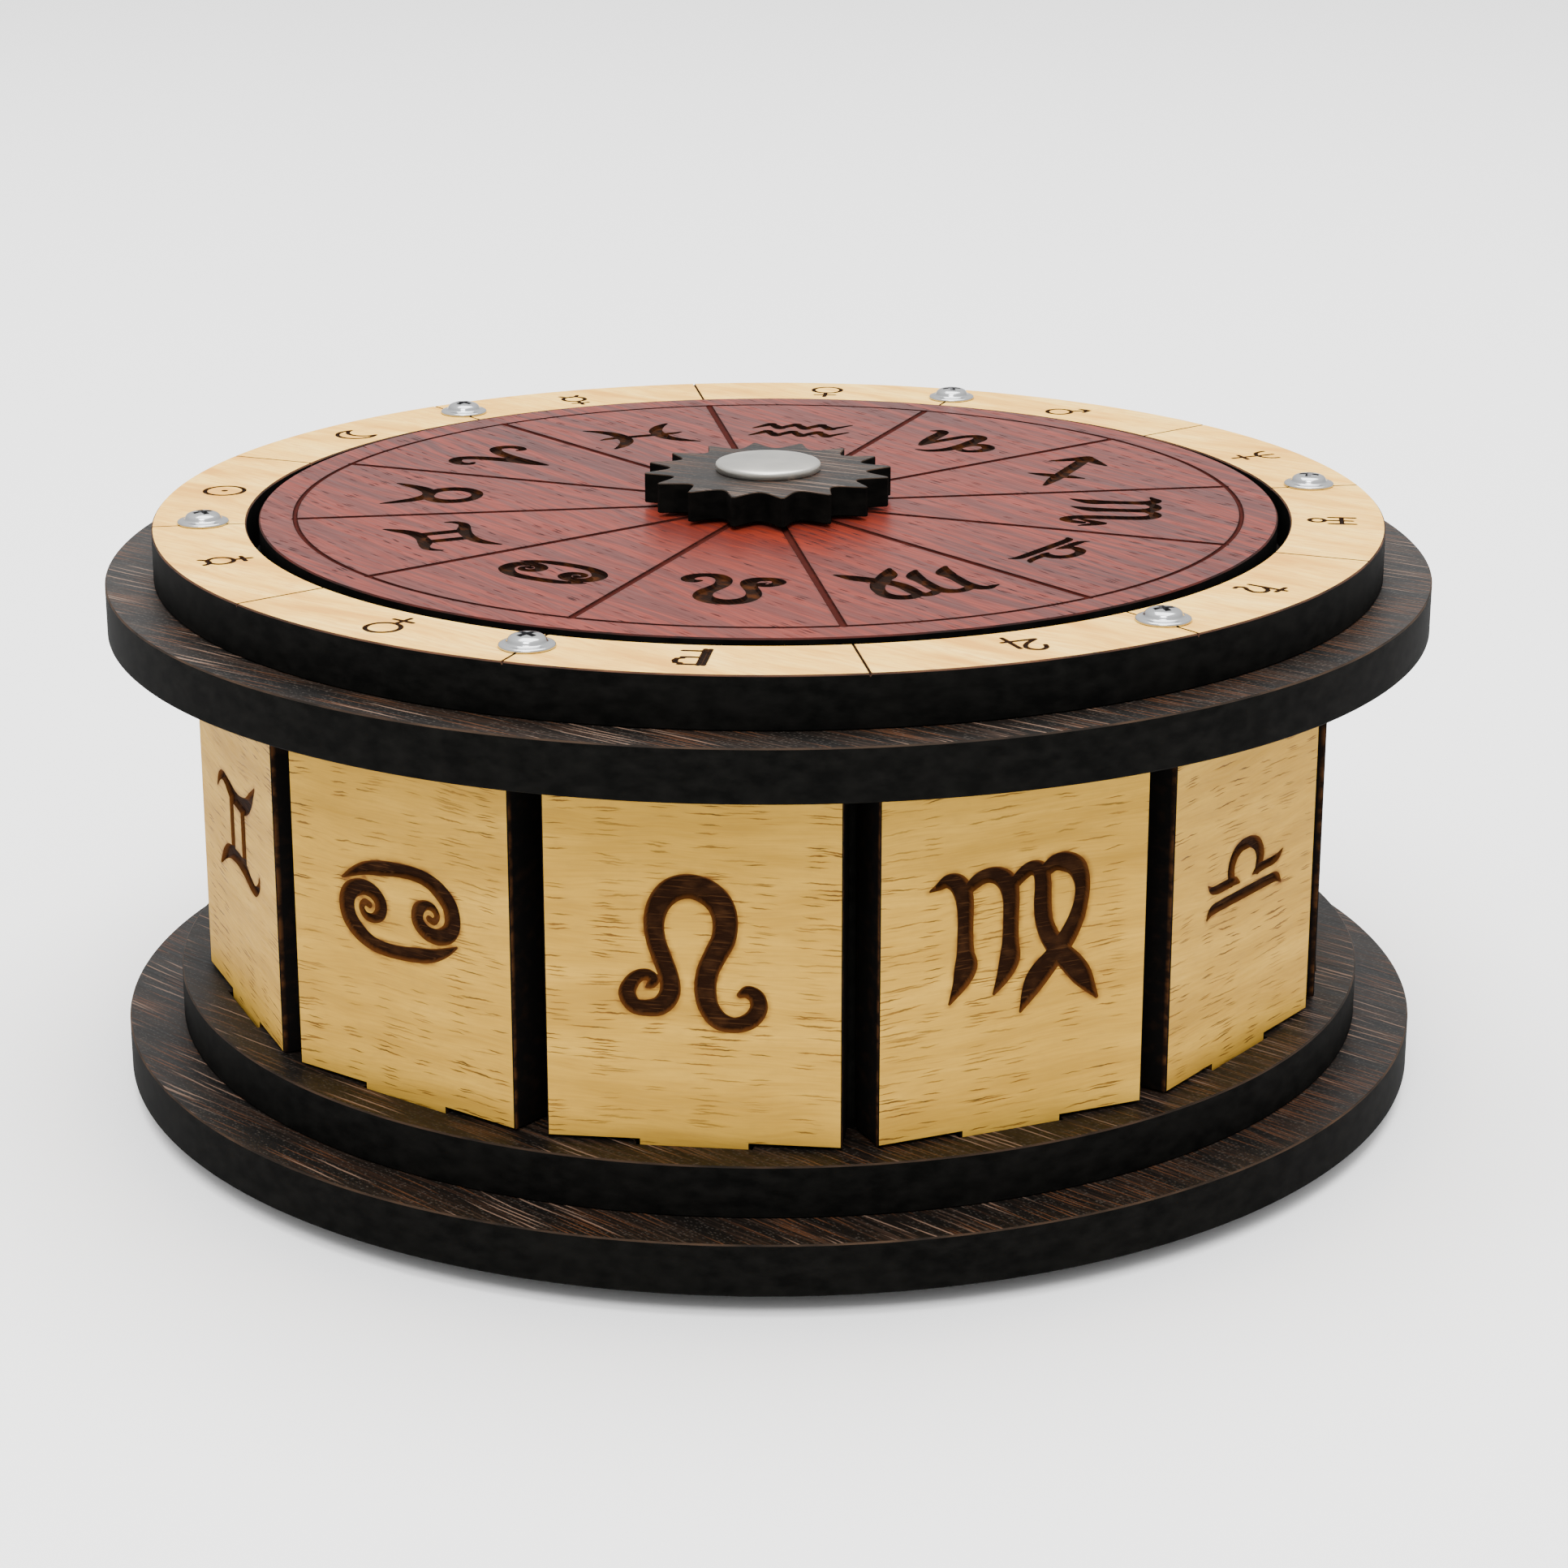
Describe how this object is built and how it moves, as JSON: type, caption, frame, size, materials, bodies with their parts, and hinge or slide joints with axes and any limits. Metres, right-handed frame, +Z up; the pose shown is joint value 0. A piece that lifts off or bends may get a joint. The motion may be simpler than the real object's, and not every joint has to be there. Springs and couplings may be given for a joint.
{
  "type": "cryptex puzzle box",
  "caption": "Flat round combination box: sign panels between dark discs, with a turning planet ring, sign dial and gear knob above a lift-out lid and wing-and-keyhole lock.",
  "frame": {"origin": "centre of the underside of the foot disc, on the turning axis", "axes": "+Z up along the turning axis; -Y towards the front panel (sector 0); sectors number counter-clockwise seen from above"},
  "size_m": [0.132, 0.132, 0.0624],
  "materials": {
    "ebony_veneer": "dark streaked veneer on black board, satin oil",
    "black_board": "black-dyed fibreboard, laser-cut edges, matt",
    "birch_ply": "birch ply, unfinished",
    "limba_veneer": "pale straight-grained veneer, satin, burnt engraving",
    "maple_veneer": "pale maple veneer, matt, fine burnt lines",
    "padauk_veneer": "red veneer, satin oil, burnt engraving",
    "felt": "thin dark felt",
    "zinc": "bright zinc plate",
    "nickel": "satin nickel plate",
    "brass": "turned brass",
    "nylon": "natural nylon"
  },
  "bodies": {
    "base": {"foot_disc": "black_board", "base_disc": "ebony_veneer", "base_ring": "ebony_veneer", "compartment_lining": "felt", "inner_wall": "black_board", "ledge_ring": "birch_ply", "keeper_plate": "birch_ply", "panel_leo": "limba_veneer", "panel_virgo": "limba_veneer", "panel_libra": "limba_veneer", "panel_scorpio": "limba_veneer", "panel_sagittarius": "limba_veneer", "panel_capricorn": "limba_veneer", "panel_aquarius": "limba_veneer", "panel_pisces": "limba_veneer", "panel_aries": "limba_veneer", "panel_taurus": "limba_veneer", "panel_gemini": "limba_veneer", "panel_cancer": "limba_veneer"},
    "inner_lid": {"plug_plate": "birch_ply", "lid_glide_ring": "nylon"},
    "ring": {"lid_disc": "ebony_veneer", "planet_ring": "maple_veneer", "ring_screw_1": "zinc", "ring_screw_2": "zinc", "ring_screw_3": "zinc", "ring_screw_4": "zinc", "ring_screw_5": "zinc", "ring_screw_6": "zinc", "drive_tube": "brass", "code_disc_a": "birch_ply"},
    "dial": {"sign_dial": "padauk_veneer", "dial_glide_ring": "nylon", "knob_washer": "nylon", "gear_knob": "ebony_veneer", "centre_sleeve": "nickel", "centre_screw": "nickel", "end_washer": "nylon", "code_disc_b": "birch_ply", "pick_up_pin_b": "brass"},
    "wheel_2": {"code_disc_c": "birch_ply", "pick_up_pin_c_top": "brass", "pick_up_pin_c_bottom": "brass", "spacer_c": "nylon"},
    "wheel_3": {"code_disc_d": "birch_ply", "pick_up_pin_d": "brass", "spacer_d": "nylon"}
  },
  "joints": [
    {"name": "lid_lift", "type": "slide", "parent": "base", "child": "inner_lid", "axis": [0, 0, 1], "range_m": [0, 0.06]},
    {"name": "ring_turn", "type": "hinge", "parent": "inner_lid", "child": "ring", "pos_m": [0, 0, 0.05], "axis": [0, 0, 1], "continuous": true},
    {"name": "dial_turn", "type": "hinge", "parent": "inner_lid", "child": "dial", "pos_m": [0, 0, 0.055], "axis": [0, 0, 1], "continuous": true},
    {"name": "wheel_2_turn", "type": "hinge", "parent": "dial", "child": "wheel_2", "pos_m": [0, 0, 0.0324], "axis": [0, 0, 1], "range_deg": [-330, 0]},
    {"name": "wheel_3_turn", "type": "hinge", "parent": "wheel_2", "child": "wheel_3", "pos_m": [0, 0, 0.0292], "axis": [0, 0, 1], "range_deg": [-330, 0]}
  ]
}
